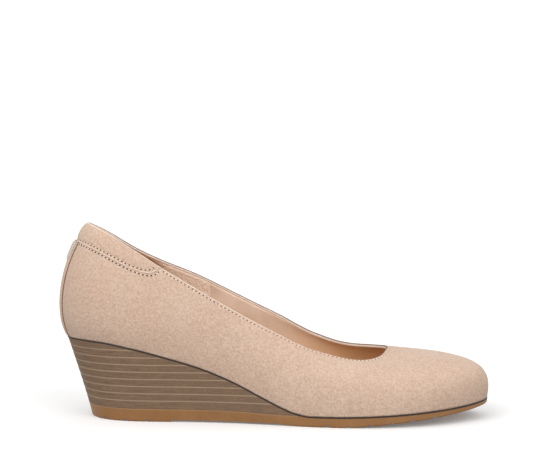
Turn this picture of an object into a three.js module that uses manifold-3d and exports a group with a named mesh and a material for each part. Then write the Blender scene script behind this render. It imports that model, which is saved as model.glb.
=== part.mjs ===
// A wedge pump for the right foot: a one-piece suede upper on a stacked wedge and a rubber outsole.
// Millimetres, +Z up, the toe towards +X, the outer side of the foot towards -Y.
import * as THREE from "three";
import { mergeVertices } from "three/addons/utils/BufferGeometryUtils.js";
import Module from "manifold-3d";

const wasm = await Module();
wasm.setup();

// Driving dimensions of the last and the upper
const SHOE_LENGTH = 245;
const BALL_WIDTH = 82;
const SEAT_HEIGHT = 45.5; // feather line above the floor at the heel
const FORE_HEIGHT = 6.1; // feather line above the floor under the ball
const TOE_SPRING = 5.4; // rise of the feather line from the ball to the toe
const BACK_HEIGHT = 65.2; // collar above the feather line at the back
const THROAT_RISE = 32.2; // collar above the feather line at the throat
const UPPER_WALL = 1.8;
const CLEARANCE = 0.3; // between curved pieces that meet

// Driving dimensions of the pieces on and in the upper
const CUFF_HEIGHT = 10.6;
const CUFF_LENGTH = 42; // from the back of the collar forward
const CUFF_THICKNESS = 1;
const STRIP_WIDTH = 14;
const STRIP_THICKNESS = 0.7;
const TAB_WIDTH = 12.4;
const TAB_HEIGHT = 11;
const TAB_THICKNESS = 0.5;
const INSOLE_THICKNESS = 4;
const INSOLE_ROUND = 1; // rounding of the insole's upper edge

// Driving dimensions of the wedge and the outsole
const LAYER_HEIGHT = 4.1;
const GROOVE_DEPTH = 0.35; // between two layers of the wedge
const GROOVE_WIDTH = 0.8;
const WEDGE_FRONT = 0.5; // height of the blunt front edge of the wedge
const OUTSOLE_HEEL = 7.6; // thickness of the outsole under the wedge at the back
const PAD_LENGTH = 64; // from the back of the shoe to the step behind the arch
const ARCH_RISE = 1.2; // height of that step
const ARCH_END = 137; // from the back of the shoe to the front of the arch
const ARCH_RUNOUT = 12; // length over which the arch comes back down to the floor
const BALL_FLAT_END = 159; // from the back of the shoe to the start of the toe spring
const TOE_LIFT = 8.6; // outsole's lower face above the floor at the toe
const EDGE_ROUND = 0.8; // rounding of the outsole's lower edge
const TREAD_DEPTH = 1.8;
const TREAD_WIDTH = 2;
const HEEL_TREAD_START = 27;
const HEEL_TREAD_PITCH = 11.6;
const HEEL_TREADS = 3;
const BALL_TREAD_START = 152;
const BALL_TREAD_PITCH = 12.1;
const BALL_TREADS = 6;

// Side walls of the sole: how far they run in for each millimetre below the feather line
const SIDE_TAPER = 0.055;
const BACK_TAPER = 0.27; // added at the back of the heel
const BACK_TAPER_SPAN = 0.1; // share of half the outline over which that fades
const TAPER_FADE = [0.25, 0.6]; // shares of SHOE_LENGTH between which all taper fades out

// Fineness of the facets
const STATIONS = 76;
const END_CROWDING = 0.35; // how much closer the stations stand at heel and toe
const WALL_ROWS = 11;
const PROFILE_STEP = 5; // between the points of a side-view outline
const NEAREST_POINTS = 0.2; // no two points of such an outline lie closer
const TRIM_EXCESS = 1.5; // how far a body runs up or down past the outline that trims it
const BEYOND_ENDS = 20; // how far such an outline runs past the shoe at both ends

// Sections from back to toe. at and topAt are shares of SHOE_LENGTH for the feather line and the collar.
// outer, inner, topOuter, topInner, push and pull are shares of BALL_WIDTH: half widths, and how far the
// wall bulges low down and high up. riseOuter and riseInner are shares of the straight line from
// BACK_HEIGHT to THROAT_RISE. low and high are shares of the wall's rise, for its lower and upper bulge,
// and reach is how far the upper bulge has moved from the feather line towards the collar.
const COLUMNS = [
  "at", "outer", "inner", "topAt", "topOuter", "topInner", "riseOuter", "riseInner",
  "push", "low", "reach", "pull", "high",
];
const SECTIONS = [
  [0.0135, 0.0, 0.0, 0.063, 0.0, 0.0, 1.0, 1.0, 0.1, 0.27, 0.0, 0.02, 0.7],
  [0.058, 0.212, 0.212, 0.092, 0.135, 0.135, 0.991, 0.957, 0.091, 0.27, 0.0, 0.022, 0.7],
  [0.155, 0.325, 0.32, 0.175, 0.225, 0.22, 0.926, 0.865, 0.067, 0.28, 0.05, 0.024, 0.7],
  [0.29, 0.34, 0.322, 0.295, 0.285, 0.28, 0.839, 0.854, 0.049, 0.3, 0.1, 0.024, 0.7],
  [0.42, 0.372, 0.32, 0.42, 0.32, 0.305, 0.829, 0.888, 0.043, 0.32, 0.1, 0.024, 0.7],
  [0.535, 0.445, 0.37, 0.53, 0.325, 0.31, 0.908, 0.986, 0.037, 0.4, 0.15, 0.024, 0.78],
  [0.655, 0.508, 0.45, 0.63, 0.315, 0.3, 0.861, 0.905, 0.03, 0.55, 0.25, 0.012, 0.88],
  [0.785, 0.492, 0.475, 0.702, 0.255, 0.25, 0.833, 0.915, 0.03, 0.7, 0.32, 0.0, 0.92],
  [0.895, 0.37, 0.385, 0.741, 0.15, 0.15, 0.914, 0.978, 0.058, 0.856, 0.265, 0.012, 0.82],
  [0.966, 0.185, 0.215, 0.7515, 0.065, 0.07, 0.987, 1.002, 0.058, 0.856, 0.265, 0.012, 0.82],
  [0.992, -0.012, 0.012, 0.754, -0.006, 0.006, 1.0, 1.0, 0.058, 0.856, 0.265, 0.012, 0.82],
].map((row) => Object.fromEntries(COLUMNS.map((name, i) => [name, row[i]])));

const BALL_START = 0.585; // share of SHOE_LENGTH where the feather line has come down to the ball

// The feather line from the side: share of SHOE_LENGTH, share of the drop from heel to ball
const FOOT_LINE = [
  [0.0, 1.0], [0.05, 1.0], [0.1, 0.985], [0.175, 0.905], [0.25, 0.785], [0.325, 0.648], [0.4, 0.468],
  [0.475, 0.238], [0.512, 0.128], [0.548, 0.04], [BALL_START, 0.0], [1.05, 0.0],
];
const SPRING_START = 0.61; // share of SHOE_LENGTH where the feather line starts to rise to the toe
const SPRING_POWER = 1.7;
const TOE_LIFT_POWER = 1.35;

// The joint of wedge and outsole from the side: share of SHOE_LENGTH, share of OUTSOLE_HEEL
const WEDGE_LINE = [[0.0, 1.02], [0.12, 0.98], [0.34, 0.95], [0.43, 0.9], [0.52, 0.79], [0.62, 0.77]];

// A smooth curve through the knots of a table that never overshoots them
function lineThrough(table) {
  const steps = table.slice(1).map(([x, y], i) => [x - table[i][0], y - table[i][1]]);
  const slopes = table.map((_, i) => {
    const [before, after] = [steps[i - 1], steps[i]];
    if (!before || !after) {
      return 0;
    }
    const [a, b] = [before[1] / before[0], after[1] / after[0]];
    const [wa, wb] = [2 * after[0] + before[0], after[0] + 2 * before[0]];
    return a * b > 0 ? (wa + wb) / (wa / a + wb / b) : 0;
  });
  return (x) => {
    const last = table.length - 2;
    const i = Math.max(0, Math.min(last, table.findIndex((knot) => knot[0] > x) - 1));
    const k = x >= table[last + 1][0] ? last : i;
    const s = THREE.MathUtils.clamp((x - table[k][0]) / steps[k][0], 0, 1);
    const start = table[k][1] * (1 + 2 * s) + slopes[k] * steps[k][0] * s;
    const end = table[k + 1][1] * (3 - 2 * s) - slopes[k + 1] * steps[k][0] * (1 - s);
    return start * (1 - s) ** 2 + end * s * s;
  };
}

const footDrop = lineThrough(FOOT_LINE);
const wedgeShare = lineThrough(WEDGE_LINE);

// Height of the feather line above the floor at x
function footHeight(x) {
  const share = x / SHOE_LENGTH;
  const spring = Math.max(0, (share - SPRING_START) / (1 - SPRING_START)) ** SPRING_POWER;
  return FORE_HEIGHT + (SEAT_HEIGHT - FORE_HEIGHT) * footDrop(share) + TOE_SPRING * spring;
}

// Height of the outsole's upper face under the wedge
function wedgeLine(x) {
  return OUTSOLE_HEEL * wedgeShare(x / SHOE_LENGTH);
}

// The outsole's lower face without its tread
function lowerFace(x) {
  if (x <= PAD_LENGTH) {
    return 0;
  }
  if (x < ARCH_END) {
    const up = Math.min(1, (x - PAD_LENGTH) / ARCH_RISE);
    const down = Math.min(1, (ARCH_END - x) / ARCH_RUNOUT);
    return ARCH_RISE * up * down;
  }
  const share = Math.max(0, (x - BALL_FLAT_END) / (SHOE_LENGTH - BALL_FLAT_END));
  return TOE_LIFT * share ** TOE_LIFT_POWER;
}

// A section's values on one side of the foot, in millimetres where they are lengths
const VALUES = ["footX", "footY", "topX", "topY", "rise", "push", "low", "reach", "pull", "high"];
const TOE_SECTION = SECTIONS[SECTIONS.length - 1];
const BACK_SECTION = SECTIONS[0];

function sideOfSection(section, isOuter) {
  const sign = isOuter ? -1 : 1;
  const forward = (section.topAt - BACK_SECTION.topAt) / (TOE_SECTION.topAt - BACK_SECTION.topAt);
  const collarLine = THREE.MathUtils.lerp(BACK_HEIGHT, THROAT_RISE, forward);
  return [
    section.at * SHOE_LENGTH,
    sign * (isOuter ? section.outer : section.inner) * BALL_WIDTH,
    section.topAt * SHOE_LENGTH,
    sign * (isOuter ? section.topOuter : section.topInner) * BALL_WIDTH,
    (isOuter ? section.riseOuter : section.riseInner) * collarLine,
    section.push * BALL_WIDTH,
    section.low,
    section.reach,
    section.pull * BALL_WIDTH,
    section.high,
  ];
}

// A closed curve through rows of values, smooth in slope and curvature, with period 1
function closedSpline(knots, rows) {
  const count = knots.length;
  const span = knots.map((knot, i) => (i + 1 < count ? knots[i + 1] : knots[0] + 1) - knot);
  const system = rows.map((row, i) => {
    const [before, after] = [(i + count - 1) % count, (i + 1) % count];
    const line = new Array(count).fill(0);
    line[before] += span[before];
    line[i] += 2 * (span[before] + span[i]);
    line[after] += span[i];
    const bends = row.map(
      (y, c) => 6 * ((rows[after][c] - y) / span[i] - (y - rows[before][c]) / span[before]),
    );
    return line.concat(bends);
  });
  for (let pivot = 0; pivot < count; pivot += 1) {
    const scale = system[pivot][pivot];
    system[pivot] = system[pivot].map((value) => value / scale);
    for (let other = 0; other < count; other += 1) {
      const share = other === pivot ? 0 : system[other][pivot];
      system[other] = system[other].map((value, c) => value - share * system[pivot][c]);
    }
  }
  const bends = system.map((line) => line.slice(count));
  return (t) => {
    const at = t - knots[0] - Math.floor(t - knots[0]) + knots[0];
    const next = knots.findIndex((knot) => knot > at);
    const i = next < 0 ? count - 1 : next - 1;
    const j = (i + 1) % count;
    const b = (at - knots[i]) / span[i];
    const a = 1 - b;
    const bendShare = span[i] ** 2 / 6;
    return rows[i].map(
      (y, c) =>
        a * y + b * rows[j][c] +
        ((a ** 3 - a) * bends[i][c] + (b ** 3 - b) * bends[j][c]) * bendShare,
    );
  };
}

// The sections in order round the foot: back, outer side, toe, inner side. A share t of 0 is the back and
// 0.5 the toe, spaced by the outline's own length.
function sectionsRoundFoot() {
  const middle = SECTIONS.map((s) => [
    s.at * SHOE_LENGTH,
    ((s.outer + s.inner) / 2) * BALL_WIDTH,
  ]);
  const lengths = [0];
  middle.slice(1).forEach(([x, y], i) => {
    lengths.push(lengths[i] + Math.hypot(x - middle[i][0], y - middle[i][1]));
  });
  const half = lengths.map((length) => length / lengths[lengths.length - 1] / 2);
  const between = half.slice(1, -1).reverse();
  const knots = half.concat(between.map((share) => 1 - share));
  const outer = SECTIONS.map((s) => sideOfSection(s, true));
  const inner = SECTIONS.slice(1, -1).reverse().map((s) => sideOfSection(s, false));
  return closedSpline(knots, outer.concat(inner));
}

const valuesAt = sectionsRoundFoot();

function section(t) {
  const values = valuesAt(t);
  return Object.fromEntries(VALUES.map((name, i) => [name, values[i]]));
}

// The level direction that points out of the feather line at t
function outward(t) {
  const step = 1e-4;
  const [before, after] = [section(t - step), section(t + step)];
  const along = new THREE.Vector2(after.footX - before.footX, after.footY - before.footY).normalize();
  return new THREE.Vector3(along.y, -along.x, 0);
}

// A point of the upper's outer face: t round the foot, v from 0 at the feather line to 1 at the collar
function surface(t, v) {
  const s = section(t);
  const out = outward(t);
  const foot = new THREE.Vector3(s.footX, s.footY, footHeight(s.footX));
  const top = new THREE.Vector3(s.topX, s.topY, footHeight(s.topX) + s.rise);
  const rise = top.z - foot.z;
  const low = foot.clone().addScaledVector(out, s.push);
  low.z += s.low * rise;
  const high = foot.clone().lerp(top, s.reach).addScaledVector(out, s.pull);
  high.z = foot.z + s.high * rise;
  return new THREE.CubicBezierCurve3(foot, low, high, top).getPoint(v);
}

// The same point moved out of the face by a distance, or into the shoe by a negative one
function offsetSurface(t, v, distance) {
  const step = 1e-3;
  const along = surface(t + step, v).sub(surface(t - step, v));
  const [below, above] = [Math.max(0, v - step), Math.min(1, v + step)];
  const up = surface(t, above).sub(surface(t, below));
  const normal = along.cross(up).normalize();
  return surface(t, v).addScaledVector(normal, distance);
}

// A point of the upper's foot, offset from its face and set down level on the feather line
function footPoint(t, distance) {
  const point = offsetSurface(t, 0, distance);
  point.z = footHeight(point.x);
  return point;
}

// A value between two limits where a growing function reaches its target
function solve(grow, target, from, to) {
  let [low, high] = [from, to];
  for (let turn = 0; turn < 40; turn += 1) {
    const middle = (low + high) / 2;
    if (grow(middle) < target) {
      low = middle;
    } else {
      high = middle;
    }
  }
  return (low + high) / 2;
}

// Stations round the foot, closer together at heel and toe where the outline turns
const stations = Array.from({ length: STATIONS }, (_, i) => {
  const share = i / STATIONS;
  return share - (END_CROWDING / (4 * Math.PI)) * Math.sin(4 * Math.PI * share);
});

// A mesh geometry from points and triangles
function geometryOf(points, triangles) {
  const geometry = new THREE.BufferGeometry();
  const flat = points.flatMap((p) => [p.x, p.y, p.z]);
  geometry.setAttribute("position", new THREE.Float32BufferAttribute(flat, 3));
  geometry.setIndex(triangles);
  geometry.computeVertexNormals();
  return geometry;
}

// Triangles of a grid of rings: rings[k][i], joined to the next ring and to the next point
function gridTriangles(rows, columns, closeRows, closeColumns) {
  const triangles = [];
  for (let k = 0; k < (closeRows ? rows : rows - 1); k += 1) {
    for (let i = 0; i < (closeColumns ? columns : columns - 1); i += 1) {
      const [right, above] = [(i + 1) % columns, (k + 1) % rows];
      const [a, b] = [k * columns + i, k * columns + right];
      const [c, d] = [above * columns + right, above * columns + i];
      triangles.push(a, b, c, a, c, d);
    }
  }
  return triangles;
}

// Triangles that close a ring straight across, from its two sides
function capTriangles(start, count, faceUp) {
  const triangles = [];
  const add = (a, b, c) => triangles.push(...(faceUp ? [a, b, c] : [a, c, b]).map((i) => start + i));
  let [near, far] = [0, count - 1];
  while (far - near > 1) {
    add(near, near + 1, far);
    near += 1;
    if (far - near > 1) {
      add(near, far - 1, far);
      far -= 1;
    }
  }
  return triangles;
}

// A closed body from rings stacked upwards, all with as many points
function stackedRings(rings) {
  const count = rings[0].length;
  const triangles = gridTriangles(rings.length, count, false, true)
    .concat(capTriangles(0, count, false))
    .concat(capTriangles((rings.length - 1) * count, count, true));
  return geometryOf(rings.flat(), triangles);
}

// A closed body between an outer and an inner sheet of rows and columns
function slab(outer, inner) {
  const [rows, columns] = [outer.length, outer[0].length];
  const size = rows * columns;
  const triangles = gridTriangles(rows, columns, false, false);
  const back = gridTriangles(rows, columns, false, false).map((i) => i + size);
  for (let i = 0; i < back.length; i += 3) {
    triangles.push(back[i], back[i + 2], back[i + 1]);
  }
  const rim = [];
  for (let i = 0; i < columns - 1; i += 1) rim.push(i);
  for (let k = 0; k < rows - 1; k += 1) rim.push(k * columns + columns - 1);
  for (let i = columns - 1; i > 0; i -= 1) rim.push((rows - 1) * columns + i);
  for (let k = rows - 1; k > 0; k -= 1) rim.push(k * columns);
  rim.forEach((a, i) => {
    const b = rim[(i + 1) % rim.length];
    triangles.push(b, a, a + size, b, a + size, b + size);
  });
  return geometryOf(outer.flat().concat(inner.flat()), triangles);
}

// Boolean work on closed geometries
function solidOf(geometry) {
  const bare = geometry.clone();
  bare.deleteAttribute("normal");
  bare.deleteAttribute("uv");
  const merged = mergeVertices(bare, 1e-4);
  const vertProperties = new Float32Array(merged.attributes.position.array);
  const triVerts = new Uint32Array(merged.index.array);
  return new wasm.Manifold(new wasm.Mesh({ numProp: 3, vertProperties, triVerts }));
}

function geometryOfSolid(solid) {
  const mesh = solid.getMesh();
  const geometry = new THREE.BufferGeometry();
  geometry.setAttribute("position", new THREE.BufferAttribute(mesh.vertProperties, 3));
  geometry.setIndex(new THREE.BufferAttribute(mesh.triVerts, 1));
  geometry.computeVertexNormals();
  return geometry;
}

// A side-view outline of x and z points, drawn out across the shoe
function acrossShoe(outline) {
  const width = 2 * BALL_WIDTH;
  const shape = new THREE.Shape(outline.map(([x, z]) => new THREE.Vector2(x, z)));
  const geometry = new THREE.ExtrudeGeometry(shape, { depth: width, bevelEnabled: false });
  return geometry.rotateX(Math.PI / 2).translate(0, width / 2, 0);
}

function trimmed(stack, outline) {
  return geometryOfSolid(solidOf(stack).intersect(solidOf(acrossShoe(outline))));
}

// Places along the shoe from one x to another, both included
function alongShoe(from, to) {
  const count = Math.ceil((to - from) / PROFILE_STEP);
  return Array.from({ length: count + 1 }, (_, i) => from + ((to - from) * i) / count);
}

// How far the sole's wall has run in at t, for a depth below the feather line
function soleInset(t, x, depth) {
  const fromBack = 2 * Math.min(t, 1 - t);
  const taper = SIDE_TAPER + BACK_TAPER * Math.exp(-((fromBack / BACK_TAPER_SPAN) ** 2));
  const [start, end] = TAPER_FADE;
  const fade = THREE.MathUtils.clamp((end - x / SHOE_LENGTH) / (end - start), 0, 1);
  return Math.max(0, depth) * taper * fade;
}

// A point of the sole's wall at t and height z, moved in by a further distance
function soleWall(t, z, further) {
  const s = section(t);
  const inset = soleInset(t, s.footX, footHeight(s.footX) - z) + further;
  return new THREE.Vector3(s.footX, s.footY, z).addScaledVector(outward(t), -inset);
}

// Where the wedge has thinned to its blunt front edge
const wedgeTip = solve(
  (x) => wedgeLine(x) + 2 * CLEARANCE + WEDGE_FRONT - footHeight(x),
  0,
  SHOE_LENGTH * (BALL_START / 2),
  SHOE_LENGTH * BALL_START,
);

function upper() {
  const rows = Array.from({ length: WALL_ROWS + 1 }, (_, k) => k / WALL_ROWS);
  const outer = rows.map((v) => stations.map((t) => surface(t, v)));
  const inner = rows.map((v) =>
    stations.map((t) => (v > 0 ? offsetSurface(t, v, -UPPER_WALL) : footPoint(t, -UPPER_WALL))),
  );
  const rings = outer.concat(inner.reverse());
  const triangles = gridTriangles(rings.length, STATIONS, true, true);
  return geometryOf(rings.flat(), triangles);
}

// Share of the wall at t where it lies a given drop below the collar
function shareBelowCollar(t, drop) {
  return solve((v) => surface(t, v).z, surface(t, 1).z - drop, 0, 1);
}

// The cuff's lower edge: level round the heel, then a round end that meets the collar
function cuffDrop(share) {
  return CUFF_HEIGHT * Math.sqrt(1 - Math.abs(share) ** 6);
}

function collarCuff() {
  const collarX = surface(0, 1).x + CUFF_LENGTH;
  const outerEnd = solve((t) => surface(t, 1).x, collarX, 0, 0.25);
  const innerEnd = solve((t) => surface(-t, 1).x, collarX, 0, 0.25);
  const lastShare = 0.985;
  const onStations = stations.map((t) => (t > 0.5 ? t - 1 : t)).sort((a, b) => a - b);
  const shares = onStations
    .map((t) => (t > 0 ? t / outerEnd : t / innerEnd))
    .filter((share) => Math.abs(share) < 0.9);
  const ends = [0.94, lastShare];
  const columns = ends.map((share) => -share).reverse().concat(shares, ends);
  const rows = [
    { up: 0, thickness: 0.5 },
    { up: 0.1, thickness: 1 },
    { up: 0.4, thickness: 1 },
    { up: 0.7, thickness: 1 },
    { up: 0.93, thickness: 1 },
    { up: 1, thickness: 0.6 },
  ];
  const sheet = (distance) =>
    rows.map((row) =>
      columns.map((share) => {
        const t = share * (share > 0 ? outerEnd : innerEnd);
        const low = shareBelowCollar(t, cuffDrop(share));
        return offsetSurface(t, THREE.MathUtils.lerp(low, 1, row.up), distance(row));
      }),
    );
  return slab(
    sheet((row) => CLEARANCE + CUFF_THICKNESS * row.thickness),
    sheet(() => CLEARANCE),
  );
}

// A patch over the back seam, between two shares of the wall, of one width
function backPatch(low, high, rowCount, width, below, thickness) {
  const columns = [-1, -0.5, 0, 0.5, 1];
  const sheet = (distance) =>
    Array.from({ length: rowCount + 1 }, (_, k) => {
      const v = THREE.MathUtils.lerp(low, high, k / rowCount);
      return columns.map((share) => {
        const sideways = Math.abs(share) * (width / 2);
        const reach = solve((t) => Math.abs(surface(t, v).y), sideways, 0, 0.06);
        return offsetSurface(Math.sign(share) * reach, v, distance);
      });
    });
  return slab(sheet(below + thickness), sheet(below));
}

const stripTop = shareBelowCollar(0, CUFF_HEIGHT + CLEARANCE);
const tabBottom = shareBelowCollar(0, CUFF_HEIGHT + CLEARANCE + TAB_HEIGHT);

function backStrip() {
  const footShare = CLEARANCE / BACK_HEIGHT;
  return backPatch(footShare, stripTop, 10, STRIP_WIDTH, CLEARANCE, STRIP_THICKNESS);
}

function heelTab() {
  const below = CLEARANCE + STRIP_THICKNESS + CLEARANCE;
  return backPatch(tabBottom, stripTop, 3, TAB_WIDTH, below, TAB_THICKNESS);
}

// The insole fills the foot of the upper to its inner face, with a clearance
function insole() {
  const inside = -UPPER_WALL - CLEARANCE;
  const atHeight = (t, height, further) => {
    const v = solve((share) => surface(t, share).z - surface(t, 0).z, height, 0, 0.6);
    const point = offsetSurface(t, v, inside).addScaledVector(outward(t), -further);
    point.z = footHeight(point.x) + height;
    return point;
  };
  const edgeHeight = INSOLE_THICKNESS - INSOLE_ROUND;
  return stackedRings([
    stations.map((t) => footPoint(t, inside)),
    stations.map((t) => atHeight(t, edgeHeight, 0)),
    stations.map((t) => atHeight(t, INSOLE_THICKNESS, INSOLE_ROUND)),
  ]);
}

// The wedge: level layers with a groove between them, trimmed to the feather line and the outsole
function wedge() {
  const front = stations.findIndex((t) => section(t).footX > wedgeTip);
  const used = stations.filter((_, i) => i <= front || i >= STATIONS - front);
  const ordered = used.map((t) => (t > 0.5 ? t - 1 : t)).sort((a, b) => a - b);
  const ring = (z, further) => ordered.map((t) => soleWall(t, z, further));
  const firstLevel = wedgeLine(0) + CLEARANCE;
  const layers = Math.ceil((SEAT_HEIGHT - firstLevel) / LAYER_HEIGHT);
  const rings = [ring(wedgeLine(SHOE_LENGTH) - TRIM_EXCESS, 0)];
  for (let layer = 1; layer < layers; layer += 1) {
    const level = firstLevel + layer * LAYER_HEIGHT;
    rings.push(ring(level - GROOVE_WIDTH / 2, 0));
    rings.push(ring(level, GROOVE_DEPTH));
    rings.push(ring(level + GROOVE_WIDTH / 2, 0));
  }
  rings.push(ring(SEAT_HEIGHT + TRIM_EXCESS, 0));
  const places = alongShoe(0, wedgeTip);
  const top = places.map((x) => [x, footHeight(x) - CLEARANCE]);
  const bottom = places.map((x) => [x, wedgeLine(x) + CLEARANCE]);
  const behind = -BEYOND_ENDS;
  const outline = [[behind, bottom[0][1]], ...bottom, ...top.reverse(), [behind, top[top.length - 1][1]]];
  return trimmed(stackedRings(rings), outline);
}

// Starts of the cross grooves along the lower face
function treads() {
  const row = (start, pitch, count) => Array.from({ length: count }, (_, i) => start + i * pitch);
  return row(HEEL_TREAD_START, HEEL_TREAD_PITCH, HEEL_TREADS).concat(
    row(BALL_TREAD_START, BALL_TREAD_PITCH, BALL_TREADS),
  );
}

function lowerOutline(from, to) {
  const half = TREAD_WIDTH / 2;
  const grooves = treads();
  const archBreaks = [PAD_LENGTH, PAD_LENGTH + ARCH_RISE, ARCH_END - ARCH_RUNOUT, ARCH_END];
  const places = alongShoe(from, to)
    .concat(archBreaks, BALL_FLAT_END)
    .filter((x) => grooves.every((groove) => Math.abs(x - groove) > half + NEAREST_POINTS));
  const plain = places.map((x) => [x, lowerFace(x)]);
  const cut = grooves.flatMap((x) => [
    [x - half, lowerFace(x - half)],
    [x, lowerFace(x) + TREAD_DEPTH],
    [x + half, lowerFace(x + half)],
  ]);
  return plain.concat(cut).sort((a, b) => a[0] - b[0]);
}

function outsole() {
  const topAt = (x) => (x < wedgeTip + CLEARANCE ? wedgeLine(x) : footHeight(x) - CLEARANCE);
  const rings = [
    stations.map((t) => soleWall(t, lowerFace(section(t).footX) - TRIM_EXCESS, EDGE_ROUND)),
    stations.map((t) => soleWall(t, lowerFace(section(t).footX), EDGE_ROUND)),
    stations.map((t) => soleWall(t, lowerFace(section(t).footX) + EDGE_ROUND, 0)),
    stations.map((t) => soleWall(t, topAt(section(t).footX) + TRIM_EXCESS, 0)),
  ];
  const [behind, ahead] = [-BEYOND_ENDS, SHOE_LENGTH + BEYOND_ENDS];
  const step = wedgeTip + CLEARANCE;
  const under = alongShoe(behind, step - 0.01).map((x) => [x, topAt(x)]);
  const fore = alongShoe(step, ahead).map((x) => [x, topAt(x)]);
  const outline = lowerOutline(behind, ahead).concat(under.concat(fore).reverse());
  return trimmed(stackedRings(rings), outline);
}

const suede = new THREE.MeshStandardMaterial({ color: 0xc9a893, roughness: 0.95, metalness: 0 });
const footbed = new THREE.MeshStandardMaterial({ color: 0xb5835c, roughness: 0.6, metalness: 0 });
const stack = new THREE.MeshStandardMaterial({ color: 0x75604f, roughness: 0.75, metalness: 0 });
const rubber = new THREE.MeshStandardMaterial({ color: 0xa97a50, roughness: 0.6, metalness: 0 });

function named(name, geometry, material) {
  const mesh = new THREE.Mesh(geometry, material);
  mesh.name = name;
  return mesh;
}

const shoe = new THREE.Group();
shoe.add(named("upper", upper(), suede));
shoe.add(named("collar_cuff", collarCuff(), suede));
shoe.add(named("back_strip", backStrip(), suede));
shoe.add(named("heel_tab", heelTab(), suede));
shoe.add(named("insole", insole(), footbed));
shoe.add(named("wedge", wedge(), stack));
shoe.add(named("outsole", outsole(), rubber));

// The origin is on the floor, under the middle of the shoe's box
const box = new THREE.Box3().setFromObject(shoe);
const centre = box.getCenter(new THREE.Vector3());
shoe.position.set(-centre.x, -centre.y, -box.min.z);

const part = new THREE.Group();
part.add(shoe);

export default part;
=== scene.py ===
"""A wedge pump for the right foot: suede, lining, stitches, stack and rubber over its solids."""

import math

import bmesh
import bpy
import numpy as np
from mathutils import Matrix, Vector


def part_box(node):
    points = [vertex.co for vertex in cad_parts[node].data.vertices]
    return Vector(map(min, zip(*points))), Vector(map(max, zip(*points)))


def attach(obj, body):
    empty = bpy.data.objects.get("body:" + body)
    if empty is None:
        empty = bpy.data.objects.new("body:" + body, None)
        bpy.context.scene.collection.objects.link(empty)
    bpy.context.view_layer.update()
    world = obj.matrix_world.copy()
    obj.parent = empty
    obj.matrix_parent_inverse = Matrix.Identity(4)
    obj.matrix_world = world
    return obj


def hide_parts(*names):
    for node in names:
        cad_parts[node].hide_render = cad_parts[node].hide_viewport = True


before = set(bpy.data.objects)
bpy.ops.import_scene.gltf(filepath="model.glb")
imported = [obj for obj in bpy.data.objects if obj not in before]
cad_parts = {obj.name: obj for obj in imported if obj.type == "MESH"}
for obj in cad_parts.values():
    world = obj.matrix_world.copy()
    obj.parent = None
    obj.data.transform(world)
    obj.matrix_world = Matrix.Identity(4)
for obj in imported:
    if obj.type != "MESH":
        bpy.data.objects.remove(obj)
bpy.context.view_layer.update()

MM = 0.001

# Sizes of the shoe, in millimetres, as in the solids, but for TREAD_DEPTH, which is 0.1 more here
SHOE_LENGTH = 245.0
BALL_WIDTH = 82.0
SEAT_HEIGHT = 45.5
FORE_HEIGHT = 6.1
TOE_SPRING = 5.4
BACK_HEIGHT = 65.2
THROAT_RISE = 32.2
UPPER_WALL = 1.8
CLEARANCE = 0.3
CUFF_HEIGHT = 10.6
CUFF_LENGTH = 42.0
CUFF_THICKNESS = 1.0
STRIP_WIDTH = 14.0
STRIP_THICKNESS = 0.7
TAB_WIDTH = 12.4
TAB_HEIGHT = 11.0
TAB_THICKNESS = 0.5
INSOLE_THICKNESS = 4.0
LAYER_HEIGHT = 4.1
WEDGE_FRONT = 0.5
OUTSOLE_HEEL = 7.6
PAD_LENGTH = 64.0
ARCH_RISE = 1.2
ARCH_END = 137.0
ARCH_RUNOUT = 12.0
BALL_FLAT_END = 159.0
TOE_LIFT = 8.6
TREAD_DEPTH = 1.9
TREAD_WIDTH = 2.0
HEEL_TREAD = {"start": 27.0, "pitch": 11.6, "count": 3}
BALL_TREAD = {"start": 152.0, "pitch": 12.1, "count": 6}
SIDE_TAPER = 0.055
BACK_TAPER = 0.27
BACK_TAPER_SPAN = 0.1
TAPER_FADE = (0.25, 0.6)

# Sections of the last from back to toe, in shares of the sizes above
COLUMNS = ("at", "outer", "inner", "top_at", "top_outer", "top_inner", "rise_outer", "rise_inner",
           "push", "low", "reach", "pull", "high")
SECTIONS = [dict(zip(COLUMNS, row)) for row in (
    (0.0135, 0.0, 0.0, 0.063, 0.0, 0.0, 1.0, 1.0, 0.1, 0.27, 0.0, 0.02, 0.7),
    (0.058, 0.212, 0.212, 0.092, 0.135, 0.135, 0.991, 0.957, 0.091, 0.27, 0.0, 0.022, 0.7),
    (0.155, 0.325, 0.32, 0.175, 0.225, 0.22, 0.926, 0.865, 0.067, 0.28, 0.05, 0.024, 0.7),
    (0.29, 0.34, 0.322, 0.295, 0.285, 0.28, 0.839, 0.854, 0.049, 0.3, 0.1, 0.024, 0.7),
    (0.42, 0.372, 0.32, 0.42, 0.32, 0.305, 0.829, 0.888, 0.043, 0.32, 0.1, 0.024, 0.7),
    (0.535, 0.445, 0.37, 0.53, 0.325, 0.31, 0.908, 0.986, 0.037, 0.4, 0.15, 0.024, 0.78),
    (0.655, 0.508, 0.45, 0.63, 0.315, 0.3, 0.861, 0.905, 0.03, 0.55, 0.25, 0.012, 0.88),
    (0.785, 0.492, 0.475, 0.702, 0.255, 0.25, 0.833, 0.915, 0.03, 0.7, 0.32, 0.0, 0.92),
    (0.895, 0.37, 0.385, 0.741, 0.15, 0.15, 0.914, 0.978, 0.058, 0.856, 0.265, 0.012, 0.82),
    (0.966, 0.185, 0.215, 0.7515, 0.065, 0.07, 0.987, 1.002, 0.058, 0.856, 0.265, 0.012, 0.82),
    (0.992, -0.012, 0.012, 0.754, -0.006, 0.006, 1.0, 1.0, 0.058, 0.856, 0.265, 0.012, 0.82),
)]
BALL_START = 0.585
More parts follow.
